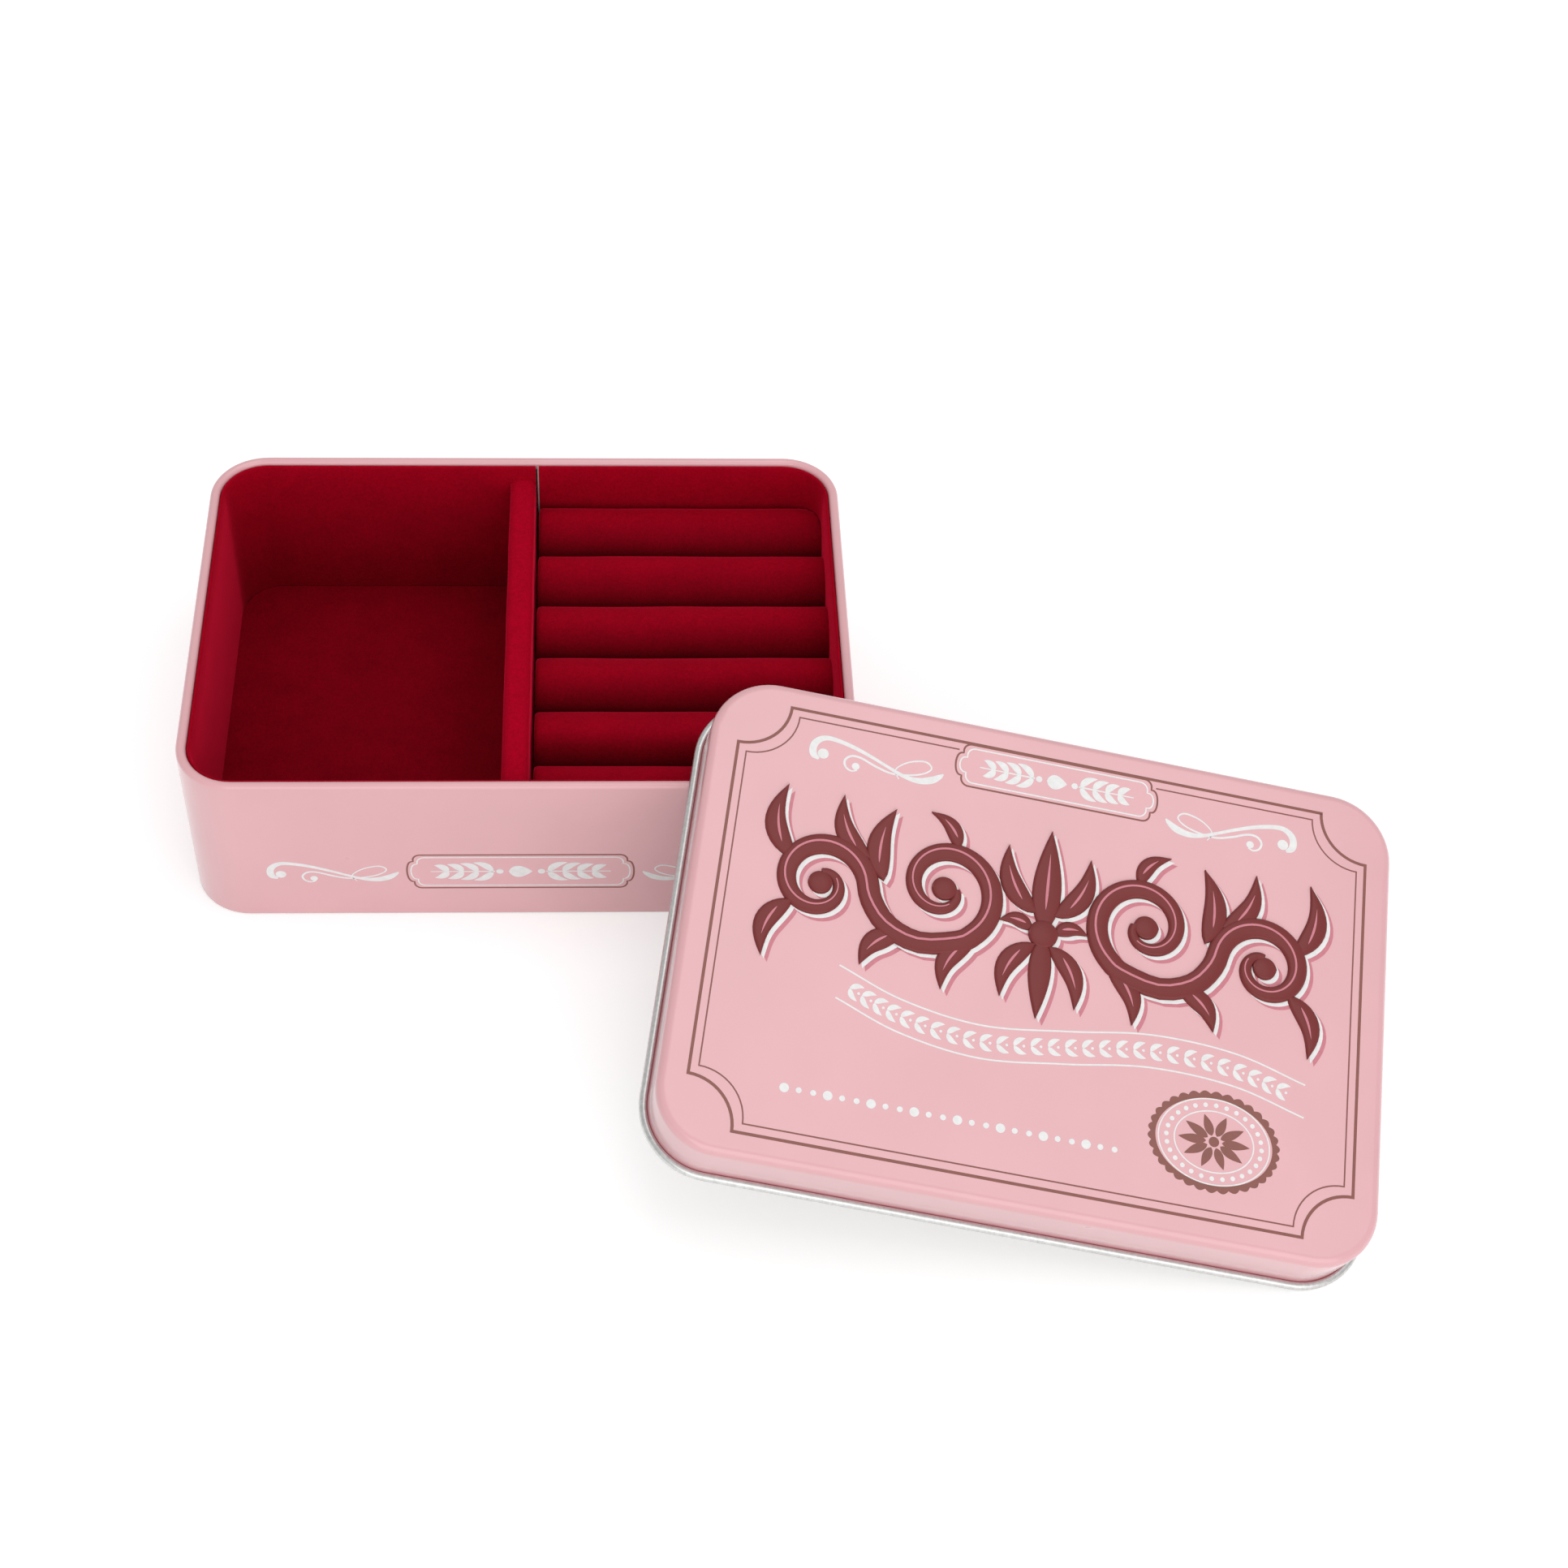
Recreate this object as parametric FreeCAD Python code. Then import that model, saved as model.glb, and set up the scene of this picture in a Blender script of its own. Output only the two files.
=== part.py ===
import FreeCAD, Part
import math
import os

from FreeCAD import Matrix, Placement, Rotation, Vector

# Jewelry box in painted tinplate: a velvet-lined base with an open compartment,
# a divider and a row of ring rolls, and a loose lid leaning on the base.
# Millimetres, Z up, X along the long side of the base, Y towards its back.

os.makedirs("parts", exist_ok=True)

# Tin base
base_length = 150.0
base_depth = 105.0
base_height = 45.0
base_corner_radius = 13.0
tin_thickness = 0.3
rim_bead_radius = 1.1
foot_bend_radius = 0.6
foot_flange_width = 3.0

# Folded side seam down the back of the base
side_seam_width = 5.0
side_seam_height = 0.3
side_seam_place = 48.0
side_seam_below_rim = 1.0

# Bottom plate, seated on the folded foot of the wall
bottom_plate_thickness = 0.3
bottom_edge_clearance = 0.1
bottom_ledge_width = 4.0
bottom_step_run = 1.5
bottom_panel_rise = 1.2

# Wall linings: grey board with velvet on the inner side
lining_board_thickness = 1.0
lining_velvet_thickness = 0.9
lining_clearance = 0.1
lining_gap_below_rim = 0.3
lining_joint_gap = 0.4
lining_joint_past_divider = 0.5
glue_gap = 0.05

# Compartment floors
floor_board_thickness = 1.2
floor_velvet_thickness = 0.8
floor_edge_clearance = 0.2

# Divider: board core in a velvet wrap
divider_place = -0.9
divider_thickness = 6.2
divider_top = 40.4
divider_velvet_thickness = 0.8
divider_edge_radius = 2.0
divider_end_clearance = 0.25
divider_side_clearance = 0.2

# Ring rolls: foam strips with round tops, each in a velvet cover
ring_roll_count = 6
ring_roll_top = 34.6
ring_roll_crest = 7.6
ring_roll_gap = 0.15
ring_roll_wall_clearance = 0.25
ring_roll_divider_gap = 0.8
ring_roll_end_clearance = 0.3
ring_roll_foot_draw = 0.35
ring_roll_end_draw = 0.7
ring_roll_velvet_thickness = 0.8

# Lid: pressed panel, rounded shoulder, skirt and outward-rolled hem
lid_depth = 15.0
lid_side_clearance = 0.5
lid_shoulder_radius = 2.0
hem_bead_radius = 1.0

# Where the loose lid lies, seen from above, and its air gap over the rim
lid_place_x = 108.2
lid_place_y = -92.4
lid_turn = -6.9
lid_rest_gap = 0.3

# Levels and outlines that follow from the sizes above
core_x = base_length / 2 - base_corner_radius
core_y = base_depth / 2 - base_corner_radius
wall_inside = base_corner_radius - tin_thickness
rim_underside = base_height - 2 * rim_bead_radius
bottom_seat = tin_thickness + glue_gap
bottom_panel_top = bottom_seat + bottom_panel_rise + bottom_plate_thickness
board_outside = wall_inside - lining_clearance
board_inside = board_outside - lining_board_thickness
velvet_outside = board_inside - glue_gap
velvet_inside = velvet_outside - lining_velvet_thickness
lining_foot = bottom_seat + bottom_plate_thickness + glue_gap
lining_top = rim_underside - lining_gap_below_rim
floor_board_foot = bottom_panel_top + glue_gap
floor_board_top = floor_board_foot + floor_board_thickness
floor_velvet_foot = floor_board_top + glue_gap
floor_velvet_top = floor_velvet_foot + floor_velvet_thickness
floor_outline = velvet_inside - floor_edge_clearance
divider_left = divider_place - divider_thickness / 2
divider_right = divider_place + divider_thickness / 2
lining_joint = divider_right + lining_joint_past_divider
lid_inside = base_corner_radius + lid_side_clearance
lid_corner_radius = lid_inside + tin_thickness
hem_centre = lid_inside + hem_bead_radius


def line(start, end):
    """Straight edge of a profile, from (outward, up) to (outward, up)."""
    return Part.makeLine(Vector(start[0], 0, start[1]), Vector(end[0], 0, end[1]))


def on_circle(centre, radius, angle):
    turn = math.radians(angle)
    return (centre[0] + radius * math.cos(turn), centre[1] + radius * math.sin(turn))


def arc(centre, radius, start, end):
    """Arc of a profile round (outward, up), from one angle to another."""
    points = [on_circle(centre, radius, angle) for angle in (start, (start + end) / 2, end)]
    return Part.Arc(*[Vector(u, 0, z) for u, z in points]).toShape()


def face(edges):
    return Part.Face(Part.Wire(edges))


def sweep_round(profile):
    """Carry a profile round the four corners and four sides of the box."""
    corners = [(core_x, core_y), (-core_x, core_y), (-core_x, -core_y), (core_x, -core_y)]
    runs = [2 * core_x, 2 * core_y, 2 * core_x, 2 * core_y]
    pieces = []
    for quarter in range(4):
        heading = 90.0 * quarter
        corner = Vector(corners[quarter][0], corners[quarter][1], 0)
        bend = profile.copy()
        bend.Placement = Placement(corner, Rotation(Vector(0, 0, 1), heading))
        pieces.append(bend.revolve(corner, Vector(0, 0, 1), 90))
        side = profile.copy()
        side.Placement = Placement(corner, Rotation(Vector(0, 0, 1), heading + 90))
        along = math.radians(heading + 180)
        run = Vector(math.cos(along), math.sin(along), 0).multiply(runs[quarter])
        pieces.append(side.extrude(run))
    return pieces


def fuse(pieces):
    return pieces[0].multiFuse(pieces[1:]).removeSplitter().Solids[0]


def round_plate(reach, low, high):
    """Flat plate with the box's rounded outline, this far out from the corner axes."""
    half_x = core_x + reach
    half_y = core_y + reach
    plate = Part.makeBox(2 * half_x, 2 * half_y, high - low, Vector(-half_x, -half_y, low))
    upright = [edge for edge in plate.Edges if abs(edge.tangentAt(edge.FirstParameter).z) > 0.9]
    return plate.makeFillet(reach, upright)


def keep_between(shape, low_x, high_x):
    bounds = shape.BoundBox
    size = (high_x - low_x, bounds.YLength + 2, bounds.ZLength + 2)
    slab = Part.makeBox(*size, Vector(low_x, bounds.YMin - 1, bounds.ZMin - 1))
    return shape.common(slab).Solids[0]


def tin_wall():
    """Wall sheet: foot folded in, upright wall, rim rolled inwards into a half-round bead."""
    radius = base_corner_radius
    foot = (radius - foot_bend_radius, foot_bend_radius)
    bead = (radius - rim_bead_radius, base_height - rim_bead_radius)
    bead_inside = radius - 2 * rim_bead_radius
    flange_end = radius - foot_flange_width
    profile = face([
        line((flange_end, 0), (foot[0], 0)),
        arc(foot, foot_bend_radius, -90, 0),
        line((radius, foot[1]), (radius, bead[1])),
        arc(bead, rim_bead_radius, 0, 180),
        line((bead_inside, bead[1]), (bead_inside, rim_underside)),
        line((bead_inside, rim_underside), (wall_inside, rim_underside)),
        line((wall_inside, rim_underside), (wall_inside, tin_thickness)),
        line((wall_inside, tin_thickness), (flange_end, tin_thickness)),
        line((flange_end, tin_thickness), (flange_end, 0)),
    ])
    seam_low = foot_bend_radius
    seam_high = rim_underside - side_seam_below_rim
    seam = Part.makeBox(
        side_seam_width,
        tin_thickness / 2 + side_seam_height,
        seam_high - seam_low,
        Vector(side_seam_place - side_seam_width / 2, base_depth / 2 - tin_thickness / 2, seam_low),
    )
    return fuse(sweep_round(profile) + [seam])


def bottom_plate():
    """Pressed plate: a ledge on the wall's folded foot and a raised panel."""
    thickness = bottom_plate_thickness
    ledge_out = wall_inside - bottom_edge_clearance
    ledge_in = ledge_out - bottom_ledge_width
    panel_edge = ledge_in - bottom_step_run
    panel_low = bottom_seat + bottom_panel_rise
    slant = math.hypot(bottom_step_run, bottom_panel_rise)
    offset = thickness * (slant - bottom_step_run) / bottom_panel_rise
    profile = face([
        line((ledge_out, bottom_seat), (ledge_in, bottom_seat)),
        line((ledge_in, bottom_seat), (panel_edge, panel_low)),
        line((panel_edge, panel_low), (panel_edge - thickness, panel_low)),
        line((panel_edge - thickness, panel_low), (panel_edge - thickness, panel_low + thickness)),
        line((panel_edge - thickness, panel_low + thickness), (panel_edge + offset, panel_low + thickness)),
        line((panel_edge + offset, panel_low + thickness), (ledge_in + offset, bottom_seat + thickness)),
        line((ledge_in + offset, bottom_seat + thickness), (ledge_out, bottom_seat + thickness)),
        line((ledge_out, bottom_seat + thickness), (ledge_out, bottom_seat)),
    ])
    panel = round_plate(panel_edge - thickness, panel_low, panel_low + thickness)
    return fuse(sweep_round(profile) + [panel])


def lining(outside, inside):
    """Full round of a wall lining, before it is parted at the divider."""
    return round_plate(outside, lining_foot, lining_top).cut(round_plate(inside, lining_foot, lining_top))


def lining_left(outside, inside):
    return keep_between(lining(outside, inside), -base_length, lining_joint - lining_joint_gap)


def lining_right(outside, inside):
    return keep_between(lining(outside, inside), lining_joint, base_length)


def floor_left(low, high):
    whole = round_plate(floor_outline, low, high)
    return keep_between(whole, -base_length, divider_left - divider_side_clearance)


def floor_right(low, high):
    whole = round_plate(floor_outline, low, high)
    return keep_between(whole, divider_right + divider_side_clearance, base_length)


def divider_block(inset, foot):
    """Upright slab with both long top edges rounded, drawn in by this much."""
    half_x = divider_thickness / 2 - inset
    half_y = core_y + velvet_inside - divider_end_clearance - inset
    top = divider_top - inset
    slab = Part.makeBox(2 * half_x, 2 * half_y, top - foot, Vector(divider_place - half_x, -half_y, foot))
    top_edges = [edge for edge in slab.Edges if edge.BoundBox.ZMin > top - 0.1]
    long_edges = [edge for edge in top_edges if edge.BoundBox.YLength > half_y]
    return slab.makeFillet(divider_edge_radius - inset, long_edges)


def roll_section(place, half_width, foot_half_width, foot, shoulder, crest):
    """Section of a ring roll across its length: flat foot, leaning sides, round top."""
    foot_front = Vector(place, -foot_half_width, foot)
    foot_back = Vector(place, foot_half_width, foot)
    shoulder_back = Vector(place, half_width, shoulder)
    shoulder_front = Vector(place, -half_width, shoulder)
    top = Vector(place, 0, crest)
    return face([
        Part.makeLine(foot_front, foot_back),
        Part.makeLine(foot_back, shoulder_back),
        Part.Arc(shoulder_back, top, shoulder_front).toShape(),
        Part.makeLine(shoulder_front, foot_front),
    ])


roll_span = 2 * (core_y + velvet_inside - ring_roll_wall_clearance)
roll_pitch = (roll_span + ring_roll_gap) / ring_roll_count
roll_width = roll_pitch - ring_roll_gap
roll_left = divider_right + ring_roll_divider_gap
roll_right = core_x + velvet_inside - ring_roll_end_clearance
roll_foot = floor_board_top + glue_gap


def ring_roll(number, inset, foot):
    """Foam strip with a round top and ends that lean in, trimmed to the rounded corners."""
    left = roll_left + inset
    right = roll_right - inset
    top = ring_roll_top - inset
    middle = roll_span / 2 - roll_width / 2 - (number - 1) * roll_pitch
    half_width = roll_width / 2 - inset
    foot_half_width = half_width - ring_roll_foot_draw
    section = roll_section(left, half_width, foot_half_width, foot, ring_roll_top - ring_roll_crest, top)
    strip = section.extrude(Vector(right - left, 0, 0))
    side_view = face([
        line((left, foot), (right, foot)),
        line((right, foot), (right - ring_roll_end_draw, top)),
        line((right - ring_roll_end_draw, top), (left + ring_roll_end_draw, top)),
        line((left + ring_roll_end_draw, top), (left, foot)),
    ])
    ends = side_view.extrude(Vector(0, 2 * roll_width, 0)).translated(Vector(0, -roll_width, 0))
    roll = strip.common(ends).translated(Vector(0, middle, 0))
    room = round_plate(velvet_inside - ring_roll_wall_clearance - inset, foot - 1, ring_roll_top + 1)
    return roll.common(room).Solids[0]


def lid_sheet():
    """Lid in its own frame: panel up, underside of the hem on Z = 0."""
    radius = lid_corner_radius
    shoulder = (radius - lid_shoulder_radius, lid_depth - lid_shoulder_radius)
    hem = (hem_centre, hem_bead_radius)
    hem_start = math.degrees(math.acos((tin_thickness - hem_bead_radius) / hem_bead_radius))
    panel_edge = shoulder[0]
    panel_under = lid_depth - tin_thickness
    profile = face([
        line((panel_edge, panel_under), (panel_edge, lid_depth)),
        arc(shoulder, lid_shoulder_radius, 90, 0),
        line((radius, shoulder[1]), on_circle(hem, hem_bead_radius, hem_start)),
        arc(hem, hem_bead_radius, hem_start, -90),
        line((hem_centre, 0), (lid_inside, hem_bead_radius)),
        line((lid_inside, hem_bead_radius), (lid_inside, shoulder[1])),
        arc(shoulder, lid_shoulder_radius - tin_thickness, 0, 90),
    ])
    panel = round_plate(panel_edge, panel_under, lid_depth)
    return fuse(sweep_round(profile) + [panel])


def heading(angle):
    return Vector(math.cos(math.radians(angle)), math.sin(math.radians(angle)), 0)


def lid_frame(plane):
    """Axes and middle of the lid's hem when it lies on the plane z = a + b x + c y."""
    level, rise_x, rise_y = plane
    normal = Vector(-rise_x, -rise_y, 1).normalize()
    plan = heading(lid_turn)
    long_side = Vector(plan.x, plan.y, rise_x * plan.x + rise_y * plan.y).normalize()
    short_side = normal.cross(long_side)
    middle = Vector(lid_place_x, lid_place_y, level + rise_x * lid_place_x + rise_y * lid_place_y)
    return long_side, short_side, normal, middle


def crossing(point, along, rim_point, rim_along):
    """Where a hem line crosses a rim line seen from above, and how far apart they run there."""
    cross = along.x * rim_along.y - along.y * rim_along.x
    gap = rim_point.sub(point)
    share = (gap.x * rim_along.y - gap.y * rim_along.x) / cross
    where = point.add(Vector(along).multiply(share))
    upright = abs(along.cross(rim_along).normalize().z)
    return where.x, where.y, (hem_bead_radius + rim_bead_radius + lid_rest_gap) / upright


def plane_through(points):
    a, b, c = [Vector(*point) for point in points]
    normal = b.sub(a).cross(c.sub(a))
    rise_x = -normal.x / normal.z
    rise_y = -normal.y / normal.z
    return a.z - rise_x * a.x - rise_y * a.y, rise_x, rise_y


def lid_rest():
    """Lean the lid on the front rim, the right rim and the table, as three supports allow."""
    rim_out = base_corner_radius - rim_bead_radius
    rim_level = base_height - rim_bead_radius
    front_rim = Vector(0, -core_y - rim_out, rim_level)
    right_rim = Vector(core_x + rim_out, 0, rim_level)
    plane = (base_height / 2, 0.0, 0.0)
    for step in range(60):
        long_side, short_side, normal, middle = lid_frame(plane)
        left_hem = middle.sub(Vector(long_side).multiply(core_x + hem_centre))
        far_hem = middle.add(Vector(short_side).multiply(core_y + hem_centre))
        corner = middle.add(Vector(long_side).multiply(core_x)).sub(Vector(short_side).multiply(core_y))
        front = crossing(left_hem, short_side, front_rim, Vector(1, 0, 0))
        right = crossing(far_hem, long_side, right_rim, Vector(0, 1, 0))
        tilt = math.sqrt(1 - normal.z ** 2)
        plane = plane_through([
            (front[0], front[1], rim_level + front[2]),
            (right[0], right[1], rim_level + right[2]),
            (corner.x, corner.y, hem_centre * tilt + hem_bead_radius),
        ])
    long_side, short_side, normal, middle = lid_frame(plane)
    origin = middle.sub(Vector(normal).multiply(hem_bead_radius))
    return Placement(Matrix(
        long_side.x, short_side.x, normal.x, origin.x,
        long_side.y, short_side.y, normal.y, origin.y,
        long_side.z, short_side.z, normal.z, origin.z,
        0, 0, 0, 1,
    ))


def roll_cover(number):
    """Velvet cover of one ring roll, open under the foot."""
    hollow = ring_roll(number, ring_roll_velvet_thickness, roll_foot - 1)
    return ring_roll(number, 0.0, roll_foot).cut(hollow).Solids[0]


def roll_core(number):
    return ring_roll(number, ring_roll_velvet_thickness + glue_gap, roll_foot)


pieces = {}
pieces["tin_body_wall"] = tin_wall()
pieces["tin_bottom_plate"] = bottom_plate()
pieces["left_lining_board"] = lining_left(board_outside, board_inside)
pieces["left_lining_velvet"] = lining_left(velvet_outside, velvet_inside)
pieces["right_lining_board"] = lining_right(board_outside, board_inside)
pieces["right_lining_velvet"] = lining_right(velvet_outside, velvet_inside)
pieces["left_floor_board"] = floor_left(floor_board_foot, floor_board_top)
pieces["left_floor_velvet"] = floor_left(floor_velvet_foot, floor_velvet_top)
pieces["right_floor_board"] = floor_right(floor_board_foot, floor_board_top)

divider_foot = floor_board_foot
divider_inside = divider_block(divider_velvet_thickness, divider_foot - 1)
pieces["divider_velvet"] = divider_block(0.0, divider_foot).cut(divider_inside).Solids[0]
pieces["divider_board"] = divider_block(divider_velvet_thickness + glue_gap, divider_foot)

for number in range(1, ring_roll_count + 1):
    pieces["ring_roll_%d_velvet" % number] = roll_cover(number)
    pieces["ring_roll_%d_foam" % number] = roll_core(number)

lid = lid_sheet()
lid.Placement = lid_rest()
pieces["lid_shell"] = lid

# The origin is on the table, in the middle of the space that base and lid take up
extent = pieces["tin_body_wall"].optimalBoundingBox(False)
extent.add(lid.optimalBoundingBox(False))
to_origin = Vector(-extent.Center.x, -extent.Center.y, -extent.ZMin)

for name, shape in pieces.items():
    shape.translated(to_origin).exportStep("parts/%s.step" % name)

lean = lid.Placement.Rotation.multVec(Vector(0, 0, 1)).getAngle(Vector(0, 0, 1))
size = (extent.XLength, extent.YLength, extent.ZLength)
print("pieces %d, overall %.1f x %.1f x %.1f mm" % (len(pieces), *size))
print("base middle from the origin: %.3f, %.3f" % (to_origin.x, to_origin.y))
print("air between lid and wall %.3f mm" % lid.distToShape(pieces["tin_body_wall"])[0])
print("lid leans %.2f degrees" % math.degrees(lean))
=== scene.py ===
import math

import bpy
import numpy as np
from mathutils import Matrix, Vector, noise


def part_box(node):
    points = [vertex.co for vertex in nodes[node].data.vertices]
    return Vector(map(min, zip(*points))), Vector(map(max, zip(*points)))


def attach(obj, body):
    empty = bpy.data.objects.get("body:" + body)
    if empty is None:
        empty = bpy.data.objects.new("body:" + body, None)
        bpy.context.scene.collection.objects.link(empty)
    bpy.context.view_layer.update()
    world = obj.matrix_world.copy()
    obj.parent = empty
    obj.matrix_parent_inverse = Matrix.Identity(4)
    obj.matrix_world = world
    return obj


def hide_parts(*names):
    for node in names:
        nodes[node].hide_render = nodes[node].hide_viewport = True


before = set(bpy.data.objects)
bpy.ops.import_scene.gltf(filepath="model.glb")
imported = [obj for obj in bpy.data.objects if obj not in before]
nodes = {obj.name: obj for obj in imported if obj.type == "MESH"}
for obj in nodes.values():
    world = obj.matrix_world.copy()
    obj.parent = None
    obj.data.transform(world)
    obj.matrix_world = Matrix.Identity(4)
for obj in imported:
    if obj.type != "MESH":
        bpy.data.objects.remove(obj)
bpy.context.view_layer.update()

# Looks of a velvet-lined tin jewelry box whose loose lid leans on two rims of the base and on the table.
# Metres, in the frame of the solids; print is drawn in millimetres on a flat face of the tin.
MM = 0.001
QUARTER_TURN = math.pi / 2

# Base, as in the solids; the inside of the lining is measured from the outside of the wall
BASE_DEPTH = 105 * MM
CORNER_RADIUS = 13 * MM
LINING_INSIDE = 3.35 * MM
LINING_THICKNESS = 0.9 * MM
WALL_LOW, WALL_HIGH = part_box("tin_body_wall")
BASE_X = (WALL_LOW.x + WALL_HIGH.x) / 2
BASE_Y = WALL_LOW.y + BASE_DEPTH / 2
CORE_X = (WALL_HIGH.x - WALL_LOW.x) / 2 - CORNER_RADIUS
CORE_Y = BASE_DEPTH / 2 - CORNER_RADIUS

# Colours, linear
PINK = (0.785, 0.424, 0.453)
# Painted shade for the crevice between the lid's skirt and its hem
CREVICE_SHADE = (0.420, 0.130, 0.150)
ROSE = (0.640, 0.215, 0.262)
CHOCOLATE = (0.200, 0.035, 0.034)
FRAME_BROWN = (0.270, 0.100, 0.080)
INK_WHITE = (0.860, 0.855, 0.850)
# Velvet, all one cloth: each piece has a light colour and a darker colour for painted shade low down; the
# pieces' colours are lit and shaded copies of one another, the divider's lightest and the floor's darkest
VELVET = (0.395, 0.0005, 0.0132)
VELVET_SHADED = (0.124, 0.0003, 0.0045)
ROLL_VELVET = (0.350, 0.0004, 0.0115)
ROLL_SHADED = (0.130, 0.0002, 0.0045)
DIVIDER_VELVET = (0.405, 0.0004, 0.0150)
DIVIDER_SHADED = (0.215, 0.0003, 0.0080)
SHEEN_TINT = (1.0, 0.018, 0.070, 1)
STEEL = (0.640, 0.645, 0.635)
INSIDE_TIN = (0.55, 0.54, 0.50)
BOARD = (0.340, 0.320, 0.300)
TABLE = (0.80, 0.80, 0.80, 1)
WHITE = (1, 1, 1, 1)


# Mesh helpers

def make_piece(name, points, faces, material, body, smooth_angle):
    """A mesh in the shared frame, shaded smooth except over sharp edges, riding on a body."""
    mesh = bpy.data.meshes.new(name)
    mesh.from_pydata([tuple(p) for p in points], [], faces)
    mesh.validate()
    mesh.update()
    mesh.polygons.foreach_set("use_smooth", [True] * len(mesh.polygons))
    mesh.set_sharp_from_angle(angle=math.radians(smooth_angle))
    mesh.materials.append(material)
    piece = bpy.data.objects.new(name, mesh)
    bpy.context.scene.collection.objects.link(piece)
    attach(piece, body)
    return piece


def skin(loops):
    """Points and faces of a closed skin over loops of equal length, with both ends capped."""
    count = len(loops[0])
    points = [point for loop in loops for point in loop]
    faces = []
    for row in range(len(loops) - 1):
        for col in range(count):
            a = row * count + col
            b = row * count + (col + 1) % count
            faces.append((a, b, b + count, a + count))
    faces.append(tuple(range(count - 1, -1, -1)))
    last = (len(loops) - 1) * count
    faces.append(tuple(range(last, last + count)))
    return points, faces


def spread(start, end, count):
    """Evenly spaced numbers from start to end."""
    return [start + (end - start) * i / (count - 1) for i in range(count)]


def smooth_path(knots, steps=6):
    """Points of a Catmull-Rom curve through the knots; every number of a knot is carried along."""
    knots = [np.array(knot, float) for knot in knots]
    ends = [2 * knots[0] - knots[1]] + knots + [2 * knots[-1] - knots[-2]]
    path = []
    for a, b, c, d in zip(ends, ends[1:], ends[2:], ends[3:]):
        for i in range(steps):
            t = i / steps
            path.append(0.5 * (2 * b + (c - a) * t + (2 * a - 5 * b + 4 * c - d) * t ** 2
                               + (3 * b - a - 3 * c + d) * t ** 3))
    return path + [knots[-1]]


# Material helpers

def new_material(name):
    material = bpy.data.materials.new(name)
    material.use_nodes = True
    tree = material.node_tree
    return material, tree, tree.nodes["Principled BSDF"]


def add(tree, kind, **values):
    """New node; each value goes to the socket of that name, or else to the node's own setting."""
    node = tree.nodes.new(kind)
    for key, value in values.items():
        if key in node.inputs:
            node.inputs[key].default_value = value
        else:
            setattr(node, key, value)
    return node


def place(tree, stretch=(1, 1, 1)):
    """Object coordinates, stretched: the same on every side and kept by the piece as it moves."""
    coordinates = add(tree, "ShaderNodeTexCoord")
    mapping = add(tree, "ShaderNodeMapping", Scale=stretch)
    tree.links.new(coordinates.outputs["Object"], mapping.inputs["Vector"])
    return mapping.outputs["Vector"]


def coordinate(tree, vector, letter):
    node = add(tree, "ShaderNodeSeparateXYZ")
    tree.links.new(vector, node.inputs["Vector"])
    return node.outputs[letter]


def speckle(tree, where, scale, detail=2.0, roughness=0.5):
    texture = add(tree, "ShaderNodeTexNoise", Scale=scale, Detail=detail, Roughness=roughness)
    tree.links.new(where, texture.inputs["Vector"])
    return texture.outputs["Fac"]


def ramp(tree, value, low, high, start=0.3, end=0.7):
    """Colour from low to high as the value goes from start to end."""
    node = add(tree, "ShaderNodeValToRGB")
    node.color_ramp.elements[0].position = start
    node.color_ramp.elements[1].position = end
    node.color_ramp.elements[0].color = (*low, 1)
    node.color_ramp.elements[1].color = (*high, 1)
    tree.links.new(value, node.inputs["Fac"])
    return node.outputs["Color"]


def span(tree, value, low, high, start=0.0, end=1.0):
    """Number from low to high as the value goes from start to end."""
    node = add(tree, "ShaderNodeMapRange")
    node.inputs["From Min"].default_value = start
    node.inputs["From Max"].default_value = end
    node.inputs["To Min"].default_value = low
    node.inputs["To Max"].default_value = high
    tree.links.new(value, node.inputs["Value"])
    return node.outputs["Result"]


def multiply(tree, first, second):
    node = add(tree, "ShaderNodeMix", data_type="RGBA", blend_type="MULTIPLY")
    node.inputs["Factor"].default_value = 1.0
    tree.links.new(first, node.inputs["A"])
    tree.links.new(second, node.inputs["B"])
    return node.outputs["Result"]


def bump(tree, shader, height, distance, strength):
    node = add(tree, "ShaderNodeBump", Strength=strength, Distance=distance)
    tree.links.new(height, node.inputs["Height"])
    tree.links.new(node.outputs["Normal"], shader.inputs["Normal"])


def shade(colour, factor):
    return tuple(channel * factor for channel in colour)


# Materials

def painted_tin(name, colour, roughness=0.3, gloss=0.72, specular=0.45):
    """Printed and varnished tinplate: even colour, faint mottling and a soft orange peel."""
    material, tree, shader = new_material(name)
    where = place(tree)
    mottle = speckle(tree, where, scale=45, detail=3)
    paint = ramp(tree, mottle, low=shade(colour, 0.975), high=shade(colour, 1.02))
    tree.links.new(paint, shader.inputs["Base Color"])
    wear = speckle(tree, where, scale=160)
    dull = span(tree, wear, low=roughness - 0.05, high=roughness + 0.06)
    tree.links.new(dull, shader.inputs["Roughness"])
    shader.inputs["Specular IOR Level"].default_value = specular
    shader.inputs["Coat Weight"].default_value = gloss
    shader.inputs["Coat Roughness"].default_value = 0.1
    peel = speckle(tree, where, scale=700)
    bump(tree, shader, peel, distance=0.01 * MM, strength=0.5)
    return material


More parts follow.
